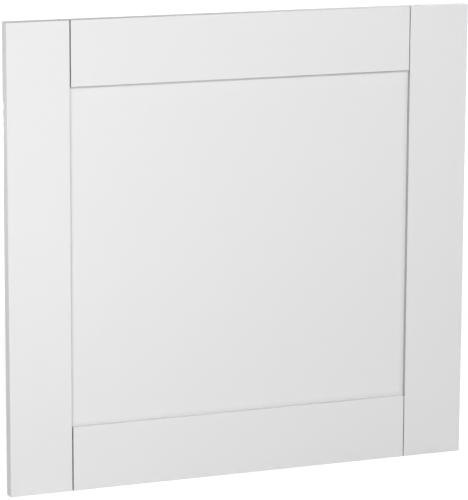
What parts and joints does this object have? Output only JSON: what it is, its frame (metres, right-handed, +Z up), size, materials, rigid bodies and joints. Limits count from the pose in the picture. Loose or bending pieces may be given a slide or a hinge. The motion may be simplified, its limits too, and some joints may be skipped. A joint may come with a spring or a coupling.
{
  "type": "cabinet front panel",
  "caption": "Square frame-and-panel cabinet front: stiles and rails jointed round a recessed centre panel, fastened from behind to a door, drawer or appliance.",
  "frame": {"origin": "middle of the frame's foot: half way across the width and the thickness, at the lower edge", "axes": "+X to the right as seen from the front, +Y from the front face to the back face, +Z up"},
  "size_m": [0.597, 0.016, 0.57],
  "materials": {
    "frame_finish": "matte white finish over fibreboard",
    "panel_finish": "matte white finish over fibreboard",
    "dowel_wood": "plain turned beech, unfinished"
  },
  "bodies": {
    "root": {"left_stile": "frame_finish", "right_stile": "frame_finish", "top_rail": "frame_finish", "bottom_rail": "frame_finish", "centre_panel": "panel_finish", "dowel_top_left_outer": "dowel_wood", "dowel_top_left_inner": "dowel_wood", "dowel_top_right_outer": "dowel_wood", "dowel_top_right_inner": "dowel_wood", "dowel_bottom_left_outer": "dowel_wood", "dowel_bottom_left_inner": "dowel_wood", "dowel_bottom_right_outer": "dowel_wood", "dowel_bottom_right_inner": "dowel_wood"}
  },
  "joints": []
}
